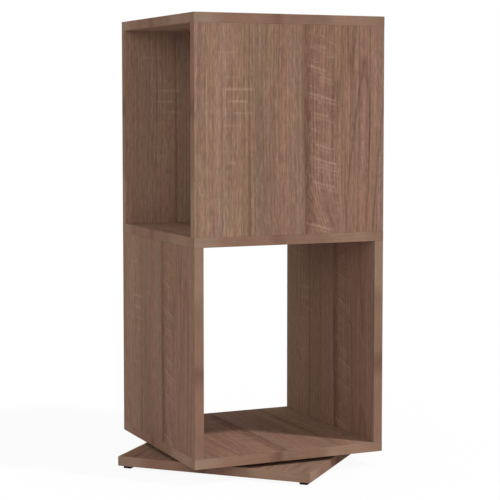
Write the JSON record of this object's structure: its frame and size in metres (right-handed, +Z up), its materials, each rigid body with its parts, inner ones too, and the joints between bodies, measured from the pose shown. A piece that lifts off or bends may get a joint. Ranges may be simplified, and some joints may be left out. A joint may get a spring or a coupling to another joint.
{
  "type": "rotating shelf unit",
  "caption": "Square shelf tower in dark oak-decor board with open compartments a quarter turn apart; the carcass turns on a ball-bearing swivel above a square base plate on glides.",
  "frame": {"origin": "on the axis of rotation at floor level, under the middle of the base plate", "axes": "+Z up along the axis of rotation; the closed upper front panel faces -Y; the lower compartment opens along Y and the upper one along X"},
  "size_m": [0.4808, 0.4808, 0.7555],
  "materials": {
    "oak_decor": "satin melamine with a dark sawn-oak print",
    "oak_edging": "satin decor edge strip",
    "cover_cap": "moulded, colour-matched",
    "beech_dowel": "raw turned beech",
    "screw_steel": "bright zinc plating",
    "zinc_steel": "galvanised pressed sheet",
    "ball_steel": "polished",
    "ball_cage": "natural moulded nylon",
    "black_glide": "moulded black plastic"
  },
  "bodies": {
    "base": {"base_plate": "oak_decor", "base_plate_edging": "oak_edging", "bearing_lower_plate": "zinc_steel", "bearing_lower_screws": "screw_steel", "foot_front": "black_glide", "foot_left": "black_glide", "foot_back": "black_glide", "foot_right": "black_glide", "foot_nails": "screw_steel"},
    "shelf": {"top_board": "oak_decor", "middle_board": "oak_decor", "bottom_board": "oak_decor", "upper_front_panel": "oak_decor", "upper_back_panel": "oak_decor", "lower_left_panel": "oak_decor", "lower_right_panel": "oak_decor", "top_board_edging": "oak_edging", "middle_board_edging": "oak_edging", "bottom_board_edging": "oak_edging", "upper_front_panel_edging": "oak_edging", "upper_back_panel_edging": "oak_edging", "lower_left_panel_edging": "oak_edging", "lower_right_panel_edging": "oak_edging", "top_board_screws": "screw_steel", "middle_board_upward_screws": "screw_steel", "middle_board_downward_screws": "screw_steel", "bottom_board_screws": "screw_steel", "top_board_caps": "cover_cap", "middle_board_upper_caps": "cover_cap", "middle_board_lower_caps": "cover_cap", "top_board_dowels": "beech_dowel", "upper_floor_dowels": "beech_dowel", "lower_ceiling_dowels": "beech_dowel", "lower_floor_dowels": "beech_dowel", "bearing_upper_plate": "zinc_steel", "bearing_eyelet": "zinc_steel", "bearing_upper_screws": "screw_steel"},
    "ball_cage": {"bearing_cage": "ball_cage", "bearing_balls": "ball_steel"}
  },
  "joints": [
    {"name": "shelf_turn", "type": "hinge", "parent": "base", "child": "shelf", "pos_m": [0, 0, 0], "axis": [0, 0, 1], "continuous": true},
    {"name": "cage_roll", "type": "hinge", "parent": "base", "child": "ball_cage", "pos_m": [0, 0, 0], "axis": [0, 0, 1], "continuous": true}
  ],
  "couplings": [
    {"joint": "cage_roll", "follows": "shelf_turn", "ratio": 0.5}
  ]
}
